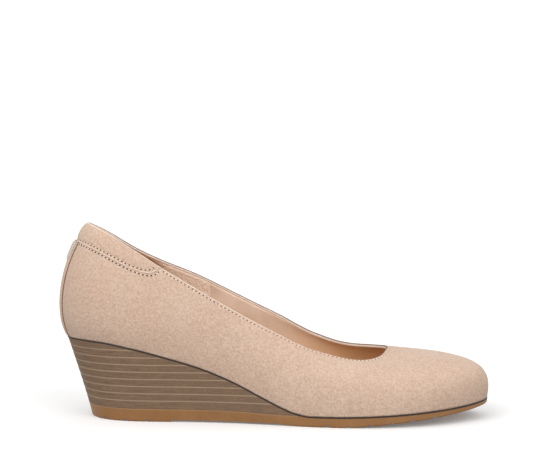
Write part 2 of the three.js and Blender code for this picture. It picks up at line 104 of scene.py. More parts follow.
FOOT_LINE = ((0.0, 1.0), (0.05, 1.0), (0.1, 0.985), (0.175, 0.905), (0.25, 0.785), (0.325, 0.648),
             (0.4, 0.468), (0.475, 0.238), (0.512, 0.128), (0.548, 0.04), (BALL_START, 0.0), (1.05, 0.0))
SPRING_START = 0.61
SPRING_POWER = 1.7
TOE_LIFT_POWER = 1.35
WEDGE_LINE = ((0.0, 1.02), (0.12, 0.98), (0.34, 0.95), (0.43, 0.9), (0.52, 0.79), (0.62, 0.77))

# The photograph's frame and the camera's place round the shoe
PHOTO_WIDTH = 550
PHOTO_MIDDLE_ROW = 225
SENSOR = 36.0
CAMERA = {"azimuth": 2.2, "elevation": 8.0, "distance": 1400.0, "mm_per_pixel": 0.571}
TARGET = (122.0, 0.0, 52.0)
TARGET_ROW = 324.7

# Degrees round the collar's fold, from its outward side: where it turns pale, a painted highlight, and its
# dark band, partly painted shade and partly a dark edge
HIGHLIGHT_FROM = 40
DARK_FROM, DARK_TO = 88, 150

# Looks, in millimetres
SUEDE_SKIN = 1.0
FOLD_DEPTH = 0.45
FOLD_STEPS = 29
GRIP_REACH = 84.0
STITCH_PITCH = 2.35
STITCH_LENGTH = 1.5
STITCH_RADIUS = 0.22
# Sizes of the dark beads between stitches: needle holes with painted shade in them
HOLE_LENGTH = 1.15
HOLE_RADIUS = 0.42
ROW_GAP = 2.2
TOPLINE_ROW = 1.7
CUFF_TOP = 0.7
FEATHER_LINE = 0.95
FEATHER_PROUD = 0.22
FEATHER_REACH = 2.5
LINE_WIDTH = 0.9
JOINT_GROOVE = 0.3
GRIP_THICKNESS = 0.3
FOOTBED_ROUNDING = 1.1
SOLE_ROUNDING = 0.8
CUT_BELOW = -3.0
WELD_GAP = 0.02
SHARP_ANGLE = 35

# Light from below the horizon, at it and from above; then soft suns by place, angle and strength
SKY = (
    (0.0, (0.2, 0.19, 0.18)),
    (0.45, (0.2, 0.19, 0.18)),
    (0.53, (0.95, 0.95, 0.95)),
    (1.0, (0.7, 0.7, 0.7)),
)
SUNS = (
    ("key", (-0.65, -1.0, 0.7), 50, 1.2),
    ("fill", (0.8, -1.0, 0.6), 50, 0.9),
)
FLOOR_GLOW = 0.12
FLOOR_SIZE = 200


def line_through(table):
    """A smooth curve through the knots of a table that never overshoots them."""
    x, y = np.array(table, float).T
    step, rise = np.diff(x), np.diff(y)
    slope = rise / step
    bend = np.zeros(len(x))
    for i in range(1, len(x) - 1):
        if slope[i - 1] * slope[i] > 0:
            before, after = 2 * step[i] + step[i - 1], step[i] + 2 * step[i - 1]
            bend[i] = (before + after) / (before / slope[i - 1] + after / slope[i])

    def curve(at):
        at = np.asarray(at, float)
        i = np.clip(np.searchsorted(x, at, side="right") - 1, 0, len(step) - 1)
        s = np.clip((at - x[i]) / step[i], 0, 1)
        start = y[i] * (1 + 2 * s) + bend[i] * step[i] * s
        end = y[i + 1] * (3 - 2 * s) - bend[i + 1] * step[i] * (1 - s)
        return start * (1 - s) ** 2 + end * s ** 2
    return curve


foot_drop = line_through(FOOT_LINE)
wedge_share = line_through(WEDGE_LINE)


def foot_height(x):
    """Height of the feather line above the floor."""
    share = np.asarray(x, float) / SHOE_LENGTH
    spring = np.clip((share - SPRING_START) / (1 - SPRING_START), 0, None) ** SPRING_POWER
    return FORE_HEIGHT + (SEAT_HEIGHT - FORE_HEIGHT) * foot_drop(share) + TOE_SPRING * spring


def wedge_line(x):
    """Height of the joint between wedge and outsole."""
    return OUTSOLE_HEEL * wedge_share(np.asarray(x, float) / SHOE_LENGTH)


def lower_face(x):
    """The outsole's lower face without its arch and its grooves."""
    share = np.clip((np.asarray(x, float) - BALL_FLAT_END) / (SHOE_LENGTH - BALL_FLAT_END), 0, None)
    return TOE_LIFT * share ** TOE_LIFT_POWER


def side_of_section(section, side):
    """A section's values on the outer or inner side, in millimetres where they are lengths."""
    sign = -1 if side == "outer" else 1
    first, last = SECTIONS[0]["top_at"], SECTIONS[-1]["top_at"]
    forward = (section["top_at"] - first) / (last - first)
    collar_line = BACK_HEIGHT + (THROAT_RISE - BACK_HEIGHT) * forward
    return [
        section["at"] * SHOE_LENGTH, sign * section[side] * BALL_WIDTH,
        section["top_at"] * SHOE_LENGTH, sign * section["top_" + side] * BALL_WIDTH,
        section["rise_" + side] * collar_line, section["push"] * BALL_WIDTH, section["low"],
        section["reach"], section["pull"] * BALL_WIDTH, section["high"],
    ]


def closed_spline(knots, rows):
    """A closed curve through rows of values, smooth in slope and curvature, with period 1."""
    knots, rows = np.array(knots), np.array(rows)
    count = len(knots)
    ends = np.append(knots, knots[0] + 1)
    span = np.diff(ends)
    system, bends = np.zeros((count, count)), np.zeros(rows.shape)
    for i in range(count):
        before, after = (i - 1) % count, (i + 1) % count
        system[i, before] += span[before]
        system[i, i] += 2 * (span[before] + span[i])
        system[i, after] += span[i]
        bends[i] = 6 * ((rows[after] - rows[i]) / span[i] - (rows[i] - rows[before]) / span[before])
    bends = np.linalg.solve(system, bends)

    def curve(t):
        t = np.mod(np.asarray(t, float) - knots[0], 1) + knots[0]
        i = np.clip(np.searchsorted(ends, t, side="right") - 1, 0, count - 1)
        j = (i + 1) % count
        b = ((t - ends[i]) / span[i])[..., None]
        a = 1 - b
        bend = (a ** 3 - a) * bends[i] + (b ** 3 - b) * bends[j]
        return a * rows[i] + b * rows[j] + bend * (span[i] ** 2)[..., None] / 6
    return curve


def sections_round_foot():
    """The sections in order round the foot: 0 is the back, 0.5 the toe, the outer side between them."""
    middle = np.array([(s["at"] * SHOE_LENGTH, (s["outer"] + s["inner"]) / 2 * BALL_WIDTH)
                       for s in SECTIONS])
    lengths = np.concatenate([[0], np.cumsum(np.linalg.norm(np.diff(middle, axis=0), axis=1))])
    half = lengths / lengths[-1] / 2
    knots = list(half) + [1 - share for share in half[-2:0:-1]]
    outer = [side_of_section(s, "outer") for s in SECTIONS]
    inner = [side_of_section(s, "inner") for s in SECTIONS[-2:0:-1]]
    return closed_spline(knots, outer + inner)


values_at = sections_round_foot()


def outward(t):
    """The level direction that points out of the feather line."""
    step = 1e-4
    along = (values_at(t + step) - values_at(t - step))[..., :2]
    along /= np.linalg.norm(along, axis=-1, keepdims=True)
    return np.stack([along[..., 1], -along[..., 0], np.zeros(along.shape[:-1])], -1)


def surface(t, v):
    """The upper's outer face: t round the foot, v from 0 at the feather line to 1 at the collar."""
    t, v = np.broadcast_arrays(np.asarray(t, float), np.asarray(v, float))
    values = values_at(t)
    push, low, reach, pull, high = (values[..., i, None] for i in range(5, 10))
    out = outward(t)
    foot = np.concatenate([values[..., :2], foot_height(values[..., 0])[..., None]], -1)
    top = np.concatenate([values[..., 2:4], (foot_height(values[..., 2]) + values[..., 4])[..., None]], -1)
    rise = (top - foot) * (0, 0, 1)
    across = (top - foot) * (1, 1, 0)
    first = foot + out * push + rise * low
    second = foot + across * reach + out * pull + rise * high
    v = v[..., None]
    return (1 - v) ** 3 * foot + 3 * v * (1 - v) ** 2 * first + 3 * v ** 2 * (1 - v) * second + v ** 3 * top


def frame_of(t, v):
    """Point, outward normal and upward tangent of the outer face."""
    step = 1e-3
    along = surface(t + step, v) - surface(t - step, v)
    below, above = np.maximum(v - step, 0), np.minimum(v + step, 1)
    up = surface(t, above) - surface(t, below)
    normal = np.cross(along, up)
    normal /= np.linalg.norm(normal, axis=-1, keepdims=True)
    up /= np.linalg.norm(up, axis=-1, keepdims=True)
    return surface(t, v), normal, up


def offset_surface(t, v, distance):
    """A point of the outer face moved out of it, or into the shoe by a negative distance."""
    point, normal, _ = frame_of(t, v)
    return point + normal * np.asarray(distance, float)[..., None]


def solve(grow, target, low, high):
    """Where a growing function reaches its target, for many values at once."""
    low, high = np.array(low, float), np.array(high, float)
    for _ in range(40):
        middle = (low + high) / 2
        under = grow(middle) < target
        low, high = np.where(under, middle, low), np.where(under, high, middle)
    return (low + high) / 2


def share_below_collar(t, drop):
    """Share of the wall at t that lies a drop below the collar."""
    t = np.asarray(t, float)
    target = surface(t, 1.0)[..., 2] - drop
    return solve(lambda v: surface(t, v)[..., 2], target, np.zeros(t.shape), np.ones(t.shape))


def wall_length(t):
    """Length of the wall from the feather line to the collar."""
    rows = np.linspace(0, 1, 33)
    line = surface(np.asarray(t, float)[..., None], rows)
    return np.linalg.norm(np.diff(line, axis=-2), axis=-1).sum(-1)


def crowded(count, crowding=0.35):
    """Shares round the foot, closer together at heel and toe."""
    share = np.arange(count) / count
    return share - crowding / (4 * math.pi) * np.sin(4 * math.pi * share)


def sole_inset(t, x, depth):
    """How far the sole's wall has run in at a depth below the feather line."""
    t = np.mod(t, 1)
    from_back = 2 * np.minimum(t, 1 - t)
    taper = SIDE_TAPER + BACK_TAPER * np.exp(-(from_back / BACK_TAPER_SPAN) ** 2)
    start, end = TAPER_FADE
    fade = np.clip((end - x / SHOE_LENGTH) / (end - start), 0, 1)
    return np.maximum(0, depth) * taper * fade


def sole_wall(t, z, further=0.0):
    """The sole's wall at t and height z, moved in by a further distance."""
    t, z, further = np.broadcast_arrays(t, z, further)
    values = values_at(t)
    inset = sole_inset(t, values[..., 0], foot_height(values[..., 0]) - z) + further
    foot = np.concatenate([values[..., :2], z[..., None]], -1)
    return foot - outward(t) * inset[..., None]


# From the shoe's millimetres to the frame's metres
def frame_shift():
    """Where the shoe's own zero lies in the frame, from the box of its upper."""
    low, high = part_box("upper")
    toe = surface(0.5, np.linspace(0, 1, 12))[:, 0].max()
    outer = surface(crowded(76)[:, None], np.linspace(0, 1, 12))[..., 1].min()
    return np.array([high.x / MM - toe, low.y / MM - outer, 0.0])


SHIFT = frame_shift()


def placed(points):
    """Points of the shoe's millimetres in the frame's metres."""
    return (np.asarray(points) + SHIFT) * MM


# Meshes
def grid_faces(rows, columns, close_rows=False, close_columns=False):
    """Faces of a grid of points, row after row."""
    k = np.arange(rows if close_rows else rows - 1)[:, None]
    i = np.arange(columns if close_columns else columns - 1)[None, :]
    up, right = (k + 1) % rows, (i + 1) % columns
    corners = [k * columns + i, k * columns + right, up * columns + right, up * columns + i]
    return np.stack([np.broadcast_to(c, (len(k), i.shape[1])) for c in corners], -1).reshape(-1, 4)


def piece(name, points, faces, material, slot, *nodes):
    """A mesh in the frame, riding on the shoe, that may stand for some of its solids."""
    mesh = bpy.data.meshes.new(name)
    mesh.from_pydata(placed(points).reshape(-1, 3).tolist(), [], [list(map(int, f)) for f in faces])
    mesh.validate()
    mesh.shade_smooth()
    mesh.materials.append(material)
    made = bpy.data.objects.new(name, mesh)
    bpy.context.scene.collection.objects.link(made)
    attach(made, "root")
    if nodes:
        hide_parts(*nodes)
    return made


def closed_slab(outer, inner):
    """Points and faces of a body between two sheets of one size."""
    rows, columns = outer.shape[:2]
    size = rows * columns
    front = grid_faces(rows, columns)
    back = grid_faces(rows, columns)[:, ::-1] + size
    rim = [*range(columns - 1), *(k * columns + columns - 1 for k in range(rows - 1)),
           *((rows - 1) * columns + i for i in range(columns - 1, 0, -1)),
           *(k * columns for k in range(rows - 1, 0, -1))]
    after = rim[1:] + rim[:1]
    side = np.array([(b, a, a + size, b + size) for a, b in zip(rim, after)])
    points = np.concatenate([outer.reshape(-1, 3), inner.reshape(-1, 3)])
    return points, np.concatenate([front, back, side])


def tube(route, radius, sides=8):
    """Points and faces of a round tube along a route, closed at both ends."""
    route = np.asarray(route, float)
    ahead = np.roll(route, -1, 0) - np.roll(route, 1, 0)
    ahead[0], ahead[-1] = route[1] - route[0], route[-1] - route[-2]
    ahead /= np.linalg.norm(ahead, axis=1, keepdims=True)
    across = np.cross(ahead, (0, 0, 1.0))
    across /= np.linalg.norm(across, axis=1, keepdims=True)
    over = np.cross(across, ahead)
    turn = np.linspace(0, 2 * math.pi, sides, endpoint=False)
    ring = across[:, None] * np.cos(turn)[:, None] + over[:, None] * np.sin(turn)[:, None]
    points = (route[:, None] + ring * radius).reshape(-1, 3)
    faces = [tuple(f) for f in grid_faces(len(route), sides, False, True)]
    faces.append(tuple(range(sides)))
    faces.append(tuple(range(len(points) - 1, len(points) - sides - 1, -1)))
    return points, faces


def along_route(route, pitch):
    """Evenly spaced middles and directions along a route, with the shares where they lie."""
    steps = np.linalg.norm(np.diff(route, axis=0), axis=1)
    length = np.concatenate([[0], np.cumsum(steps)])
    count = int(length[-1] / pitch)
    at = (np.arange(count) + 0.5) * length[-1] / count
    middle = np.stack([np.interp(at, length, route[:, c]) for c in range(3)], -1)
    ahead = np.stack([np.interp(at + 0.3, length, route[:, c]) for c in range(3)], -1)
    behind = np.stack([np.interp(at - 0.3, length, route[:, c]) for c in range(3)], -1)
    direction = ahead - behind
    direction /= np.linalg.norm(direction, axis=1, keepdims=True)
    return middle, direction, at / length[-1]


def beads(name, middles, directions, normals, half_sizes, material, slot):
    """Many small round-ended bodies in one mesh, long along their directions."""
    rings, sides = 5, 8
    latitude = np.linspace(0, math.pi, rings + 2)[1:-1]
    turn = np.linspace(0, 2 * math.pi, sides, endpoint=False)
    body = [(-1.0, 0.0, 0.0)]
    body += [(-math.cos(a), math.sin(a) * math.cos(b), math.sin(a) * math.sin(b))
             for a in latitude for b in turn]
    body.append((1.0, 0.0, 0.0))
    body = np.array(body) * half_sizes
    faces = [(0, 1 + (i + 1) % sides, 1 + i) for i in range(sides)]
    faces += [tuple(f + 1) for f in grid_faces(rings, sides, False, True)]
    last, first = len(body) - 1, 1 + (rings - 1) * sides
    faces += [(last, first + i, first + (i + 1) % sides) for i in range(sides)]
    sideways = np.cross(normals, directions)
    axes = np.stack([directions, sideways, normals], 1)
    points = middles[:, None] + np.einsum("pk,nkc->npc", body, axes)
    all_faces = [tuple(int(j) + n * len(body) for j in f) for n in range(len(middles)) for f in faces]
    return piece(name, points.reshape(-1, 3), all_faces, material, slot)


# Materials
def new_material(name):
    material = bpy.data.materials.new(name)
    material.use_nodes = True
    nodes, links = material.node_tree.nodes, material.node_tree.links
    return material, nodes, links, nodes["Principled BSDF"]


def coordinates(nodes, links, stretch=(1, 1, 1)):
    """Places on the object in metres, stretched along its axes."""
    source = nodes.new("ShaderNodeTexCoord")
    mapping = nodes.new("ShaderNodeMapping")
    mapping.inputs["Scale"].default_value = stretch
    links.new(source.outputs["Object"], mapping.inputs["Vector"])
    return mapping.outputs["Vector"]


def noise(nodes, links, where, size_mm, detail=3.0, roughness=0.5):
    """Noise whose patches are about one size across."""
    node = nodes.new("ShaderNodeTexNoise")
    node.inputs["Scale"].default_value = 1 / (size_mm * MM)
    node.inputs["Detail"].default_value = detail
    node.inputs["Roughness"].default_value = roughness
    links.new(where, node.inputs["Vector"])
    return node.outputs["Fac"]


def ramp(nodes, links, value, stops):
    """A colour for each value: stops are (value, colour)."""
    node = nodes.new("ShaderNodeValToRGB")
    elements = node.color_ramp.elements
    while len(elements) < len(stops):
        elements.new(0.5)
    for element, (at, colour) in zip(elements, stops):
        element.position = at
        element.color = (*colour, 1)
    links.new(value, node.inputs["Fac"])
    return node.outputs["Color"]


def mixed(nodes, links, share, first, second, blend="MIX"):
    """Two colours mixed by a share, which is a number or an output."""
    node = nodes.new("ShaderNodeMix")
    node.data_type = "RGBA"
    node.blend_type = blend
    for key, value in (("Factor", share), ("A", first), ("B", second)):
        socket = next(s for s in node.inputs if s.name == key and s.enabled)
        if isinstance(value, bpy.types.NodeSocket):
            links.new(value, socket)
        elif key == "Factor":
            socket.default_value = value
        else:
            socket.default_value = (*value, 1)
    return next(s for s in node.outputs if s.enabled)


def bumped(nodes, links, shader, heights):
    """Bumps in millimetres, one over another: heights are (output, depth)."""
    normal = None
    for height, depth in heights:
        node = nodes.new("ShaderNodeBump")
        node.inputs["Strength"].default_value = 1.0
        node.inputs["Distance"].default_value = depth * MM
        links.new(height, node.inputs["Height"])
        if normal:
            links.new(normal, node.inputs["Normal"])
        normal = node.outputs["Normal"]
    links.new(normal, shader.inputs["Normal"])


def suede_material(name, dark, light, sheen=0.25):
    material, nodes, links, shader = new_material(name)
    where = coordinates(nodes, links)
    broad = noise(nodes, links, where, 26, 2)
    patches = noise(nodes, links, where, 6, 3, 0.6)
    nap = noise(nodes, links, where, 1.3, 4, 0.75)
    fibre = noise(nodes, links, where, 0.5, 3, 0.6)
    colour = ramp(nodes, links, nap, ((0.36, dark), (0.64, light)))
    tone = ramp(nodes, links, patches, ((0.3, (0.48, 0.475, 0.47)), (0.7, (0.52, 0.52, 0.52))))
    colour = mixed(nodes, links, 0.6, colour, tone, "OVERLAY")
    wide = ramp(nodes, links, broad, ((0.35, (0.48, 0.47, 0.46)), (0.65, (0.53, 0.525, 0.52))))
    colour = mixed(nodes, links, 0.6, colour, wide, "OVERLAY")
    links.new(colour, shader.inputs["Base Color"])
    shader.inputs["Roughness"].default_value = 0.95
    shader.inputs["Specular IOR Level"].default_value = 0.15
    shader.inputs["Sheen Weight"].default_value = sheen
    shader.inputs["Sheen Roughness"].default_value = 0.55
    shader.inputs["Sheen Tint"].default_value = (1.0, 0.93, 0.87, 1)
    bumped(nodes, links, shader, ((patches, 0.15), (nap, 0.5), (fibre, 0.15)))
    return material


def along_shoe(nodes, links, start, end):
    """Share of the way from one place along the shoe to another, in millimetres from its back."""
    source = nodes.new("ShaderNodeTexCoord")
    parts = nodes.new("ShaderNodeSeparateXYZ")
    links.new(source.outputs["Object"], parts.inputs["Vector"])
    way = nodes.new("ShaderNodeMapRange")
    way.interpolation_type = "SMOOTHSTEP"
    way.inputs["From Min"].default_value = (start + SHIFT[0]) * MM
    way.inputs["From Max"].default_value = (end + SHIFT[0]) * MM
    links.new(parts.outputs["X"], way.inputs["Value"])
    return way.outputs["Result"]


def leather_material(name, dark, light, roughness, grain_mm, depth, further=None):
    material, nodes, links, shader = new_material(name)
    where = coordinates(nodes, links)
    broad = noise(nodes, links, where, 14, 3)
    grain = nodes.new("ShaderNodeTexVoronoi")
    grain.inputs["Scale"].default_value = 1 / (grain_mm * MM)
    links.new(where, grain.inputs["Vector"])
    fine = noise(nodes, links, where, grain_mm * 0.6, 3)
    colour = ramp(nodes, links, broad, ((0.3, dark), (0.7, light)))
    if further:
        start, end, tint = further
        colour = mixed(nodes, links, along_shoe(nodes, links, start, end), colour, tint)
    speck = ramp(nodes, links, fine, ((0.3, (0.43, 0.43, 0.43)), (0.7, (0.57, 0.57, 0.57))))
    links.new(mixed(nodes, links, 0.5, colour, speck, "OVERLAY"), shader.inputs["Base Color"])
    shader.inputs["Roughness"].default_value = roughness
    bumped(nodes, links, shader, ((grain.outputs["Distance"], depth), (fine, depth * 0.4)))
    return material


def plain_material(name, colour, roughness, grain_mm=0.8, depth=0.03):
    material, nodes, links, shader = new_material(name)
    where = coordinates(nodes, links)
    fine = noise(nodes, links, where, grain_mm, 3)
    shade = ramp(nodes, links, fine, ((0.3, (0.45, 0.45, 0.45)), (0.7, (0.55, 0.55, 0.55))))
    links.new(mixed(nodes, links, 0.5, colour, shade, "OVERLAY"), shader.inputs["Base Color"])
    shader.inputs["Roughness"].default_value = roughness
    bumped(nodes, links, shader, ((fine, depth),))
    return material


def stack_material():
    """Grey-brown layers with fine level streaks, and a lighter line at each joint."""
    material, nodes, links, shader = new_material("stack")
    streaked = coordinates(nodes, links, (1, 1, 14))
    streaks = noise(nodes, links, streaked, 9, 5, 0.65)
    where = coordinates(nodes, links)
    fine = noise(nodes, links, where, 0.9, 4, 0.6)
    line = nodes.new("ShaderNodeAttribute")
    line.attribute_name = "joint"
    colour = ramp(nodes, links, streaks, ((0.25, (0.12, 0.068, 0.038)), (0.75, (0.225, 0.138, 0.08))))
    speck = ramp(nodes, links, fine, ((0.3, (0.38, 0.38, 0.38)), (0.7, (0.62, 0.62, 0.62))))
    colour = mixed(nodes, links, 0.7, colour, speck, "OVERLAY")
    colour = mixed(nodes, links, line.outputs["Fac"], colour, (0.34, 0.235, 0.15))
    links.new(colour, shader.inputs["Base Color"])
    shader.inputs["Roughness"].default_value = 0.7
    bumped(nodes, links, shader, ((streaks, 0.15), (fine, 0.08)))
    return material


def rubber_material():
    """Caramel rubber with a paler upper edge."""
    material, nodes, links, shader = new_material("rubber")
    where = coordinates(nodes, links)
    cloud = noise(nodes, links, where, 12, 3)
    fine = noise(nodes, links, where, 0.7, 3)
    edge = nodes.new("ShaderNodeAttribute")
    edge.attribute_name = "joint"
    colour = ramp(nodes, links, cloud, ((0.3, (0.23, 0.1, 0.028)), (0.7, (0.285, 0.132, 0.04))))
    colour = mixed(nodes, links, edge.outputs["Fac"], colour, (0.36, 0.22, 0.11))
    links.new(colour, shader.inputs["Base Color"])
    shader.inputs["Roughness"].default_value = 0.5
    bumped(nodes, links, shader, ((fine, 0.05),))
    return material


def woven_material():
    """A pale ribbed weave, with ribs across the back of the heel."""
    material, nodes, links, shader = new_material("woven_tab")
    where = coordinates(nodes, links)
    ribs = nodes.new("ShaderNodeTexWave")
    ribs.bands_direction = "Z"
    ribs.inputs["Scale"].default_value = 1 / (1.3 * MM) / 3.2
    ribs.inputs["Distortion"].default_value = 0.4
    links.new(where, ribs.inputs["Vector"])
    fine = noise(nodes, links, where, 0.5, 3)
    colour = ramp(nodes, links, ribs.outputs["Fac"], ((0.1, (0.5, 0.4, 0.34)), (0.8, (0.68, 0.58, 0.52))))
    links.new(colour, shader.inputs["Base Color"])
    shader.inputs["Roughness"].default_value = 0.85
    bumped(nodes, links, shader, ((ribs.outputs["Fac"], 0.1), (fine, 0.08)))
    return material


SUEDE = suede_material("suede", (0.54, 0.375, 0.28), (0.72, 0.535, 0.42))
# A paler copy of the suede for the collar's fold and the cuff's edge: painted highlight
SUEDE_HIGHLIGHT = suede_material("suede_highlight", (0.82, 0.66, 0.55), (0.92, 0.78, 0.68), 0.3)
# From 110 to 172 mm along the shoe the lining turns a deeper orange: painted shade and bounced light inside
# the toe box
LINING_WITH_TOE_SHADE = leather_material("lining", (0.7, 0.49, 0.35), (0.84, 0.63, 0.49), 0.6, 0.9, 0.05,
                          (110, 172, (0.9, 0.56, 0.3)))
GRIP = leather_material("heel_grip", (0.3, 0.12, 0.04), (0.6, 0.32, 0.16), 0.85, 1.4, 0.3,
                        (49, 62, (0.86, 0.64, 0.49)))
FOOTBED = leather_material("footbed", (0.42, 0.24, 0.13), (0.5, 0.31, 0.18), 0.5, 1.1, 0.06)
# Thread paler than the suede: partly its own colour, partly painted highlight on the stitches
THREAD_HIGHLIGHT = plain_material("thread_highlight", (0.82, 0.67, 0.56), 0.8, 0.3, 0.06)
# Near-black beads between stitches: needle holes and the painted shade in them
HOLE_SHADE = plain_material("needle_hole_shade", (0.07, 0.028, 0.015), 0.9)
# Dark band where the collar's fold turns inward: partly painted shade, partly a dark edge
RIM_SHADE = plain_material("rim_shade", (0.2, 0.115, 0.075), 0.8)
# Near-black walls of the tread grooves: painted shade
TREAD_SHADE = plain_material("tread_shade", (0.03, 0.015, 0.01), 0.8)
# Near-black band between upper and sole: painted shadow of the gap between them
FEATHER_SHADE = plain_material("feather_shade", (0.02, 0.009, 0.005), 0.7)
# Dark rolls along the back strip's edges: painted shadow beside the raised strip
STRIP_EDGE_SHADE = plain_material("strip_edge_shade", (0.16, 0.08, 0.05), 0.8)
STACK = stack_material()
RUBBER = rubber_material()
WOVEN = woven_material()


# The cuff's outline on the upper
def cuff_ends():
    """Shares round the foot, outer and inner, where the cuff's front ends meet the collar."""
    front = surface(0.0, 1.0)[0] + CUFF_LENGTH
    outer = solve(lambda t: surface(t, 1.0)[..., 0], front, 0.0, 0.25)
    inner = solve(lambda t: surface(-t, 1.0)[..., 0], front, 0.0, 0.25)
    return float(outer), float(inner)


CUFF_OUTER, CUFF_INNER = cuff_ends()


def cuff_share(t):
    """How far along the cuff a place round the foot is: 0 at the back, 1 at the front ends."""
    t = np.where(np.asarray(t) > 0.5, np.asarray(t, float) - 1, t)
    return np.where(t > 0, t / CUFF_OUTER, -t / CUFF_INNER)


def cuff_drop(share, lower=0.0):
    """Drop of the cuff's lower edge below the collar, or of a line that lies lower than it."""
    grown = 1 + lower / CUFF_LENGTH
    inside = np.clip(1 - (np.abs(share) / grown) ** 6, 0, None)
    return (CUFF_HEIGHT + lower) * np.sqrt(inside)


def cuff_edge(t, lower=0.0):
    """Share of the wall where the cuff's edge, or a line lower than it, runs."""
    return share_below_collar(t, cuff_drop(cuff_share(t), lower))


# Soft hollows and ridges of the suede: place round the foot and share of the wall at both ends,
# width and depth in millimetres; a negative depth is a ridge
CREASES = (
    {"from": (0.285, 0.78), "to": (0.335, 0.42), "width": 7.0, "depth": 0.35},
    {"from": (0.315, 0.86), "to": (0.365, 0.55), "width": 6.0, "depth": 0.3},
    {"from": (0.24, 0.7), "to": (0.27, 0.3), "width": 10.0, "depth": 0.3},
    {"from": (0.715, 0.78), "to": (0.665, 0.42), "width": 7.0, "depth": 0.35},
    {"from": (0.685, 0.86), "to": (0.635, 0.55), "width": 6.0, "depth": 0.3},
    {"from": (0.76, 0.7), "to": (0.73, 0.3), "width": 10.0, "depth": 0.3},
    {"from": (0.09, 0.2), "to": (0.15, 0.5), "width": 9.0, "depth": -0.25},
    {"from": (0.91, 0.2), "to": (0.85, 0.5), "width": 9.0, "depth": -0.25},
)


def crease_depth(points):
    """How far the suede stands out at its points, from all creases."""
    out = np.zeros(points.shape[:-1])
    for crease in CREASES:
        start, end = surface(*crease["from"]), surface(*crease["to"])
        run = end - start
        share = np.clip(((points - start) @ run) / (run @ run), 0, 1)
        gap = np.linalg.norm(points - start - share[..., None] * run, axis=-1)
        out -= crease["depth"] * np.exp(-(gap / crease["width"]) ** 2)
    return out


def groove(v, row, length, width, depth):
    """A sewn-in line: how deep the suede is drawn in near the share of the wall where it runs."""
    return -depth * np.exp(-(((v - row) * length) / width) ** 2)


def make_upper():
    """The suede shell: outer face, fold over the collar's edge and the inner face behind the lining."""
    t = crowded(440)
    length = wall_length(t)
    half = UPPER_WALL / 2
    top = 1 - half / length
    rows = np.linspace(0, 1, 76)[:, None] * top
    point, normal, _ = frame_of(t[None, :], rows)
    inside_cuff = np.abs(cuff_share(t)) < 1.0
    stitch_row = 1 - TOPLINE_ROW / length
    draw = crease_depth(point) * np.minimum(1, (1 - rows) * 6)
    draw += groove(rows, stitch_row, length, 0.7, 0.22) * ~inside_cuff
    edge = cuff_edge(t, ROW_GAP / 2)
    draw += groove(rows, edge, length, 0.8, 0.2) * inside_cuff
    outer = point + normal * draw[..., None]
    fold_start, fold_normal, fold_up = frame_of(t[None, :], top[None, :])
    turn = np.linspace(0, math.pi, FOLD_STEPS + 2)[1:-1, None, None]
    centre = fold_start - fold_normal * half
    bead = half * (1 + 0.1 * np.exp(-((turn - 2.9) / 0.3) ** 2))
    facing = fold_normal * np.cos(turn) + fold_up * np.sin(turn)
    fold = centre + facing * bead
    deep = half + FOLD_DEPTH
    behind = np.concatenate([
        1 - np.array([half, deep, deep + 0.1])[:, None] / length,
        np.linspace(1, 0, 14)[1:, None] * (1 - (deep + 0.1) / length),
    ])
    skin = np.full(behind.shape, -SUEDE_SKIN)
    skin[:2] = -UPPER_WALL
    inner = offset_surface(t[None, :], behind, skin)
    inner[-1, :, 2] = foot_height(inner[-1, :, 0])
    rings = np.concatenate([outer, fold, inner])
    faces = grid_faces(len(rings), len(t), True, True)
    made = piece("upper_suede", rings, faces, SUEDE, "suede", "upper")
    made.data.materials.append(SUEDE_HIGHLIGHT)
    made.data.materials.append(RIM_SHADE)
    # Upward faces of the fold, and the first face behind it, take the pale suede as a painted highlight;
    # faces turned inward take the dark band, partly painted shade
    level = np.sum(facing * outward(t), -1)
    tilt = np.degrees(np.arctan2(facing[..., 2], level)) % 360
    look = np.zeros((len(rings), len(t)), np.int32)
    end = len(outer) + FOLD_STEPS
    on_fold = look[len(outer):end]
    on_fold[tilt > HIGHLIGHT_FROM] = 1
    on_fold[(tilt > DARK_FROM) & (tilt < DARK_TO)] = 2
    look[end] = 1
    made.data.polygons.foreach_set("material_index", look.ravel())


def make_lining():
    """The lining inside the suede, from just under the fold down to the insole."""
    t = crowded(260)
    length = wall_length(t)
    rows = np.linspace(0, 1, 26)[:, None] * (1 - (UPPER_WALL / 2 + FOLD_DEPTH + 0.05) / length)
    face = offset_surface(t[None, :], rows, np.full(rows.shape, -UPPER_WALL))
    back = offset_surface(t[None, :], rows, np.full(rows.shape, -SUEDE_SKIN - 0.1))
    for sheet in (face, back):
        sheet[0, :, 2] = foot_height(sheet[0, :, 0])
    rings = np.concatenate([back, face[::-1]])
    faces = grid_faces(len(rings), len(t), True, True)
    piece("lining", rings, faces, LINING_WITH_TOE_SHADE, "footbed")


def make_heel_grip():
    """A darker napped lining round the inside of the heel, as far forward as GRIP_REACH."""
    outer_end = float(solve(lambda s: surface(s, 1.0)[..., 0], GRIP_REACH, 0.0, 0.25))
    inner_end = float(solve(lambda s: surface(-s, 1.0)[..., 0], GRIP_REACH, 0.0, 0.25))
    t = np.linspace(-inner_end, outer_end, 120)
    length = wall_length(t)
    low = (INSOLE_THICKNESS + 0.5) / length
    high = 1 - (UPPER_WALL / 2 + FOLD_DEPTH + 0.1) / length
    rows = low + np.linspace(0, 1, 30)[:, None] * (high - low)
    depth = np.full(rows.shape, -UPPER_WALL)
    face = offset_surface(t[None, :], rows, depth - GRIP_THICKNESS)
    back = offset_surface(t[None, :], rows, depth - 0.02)
    points, faces = closed_slab(back, face)
    piece("heel_grip", points, faces, GRIP, "footbed")


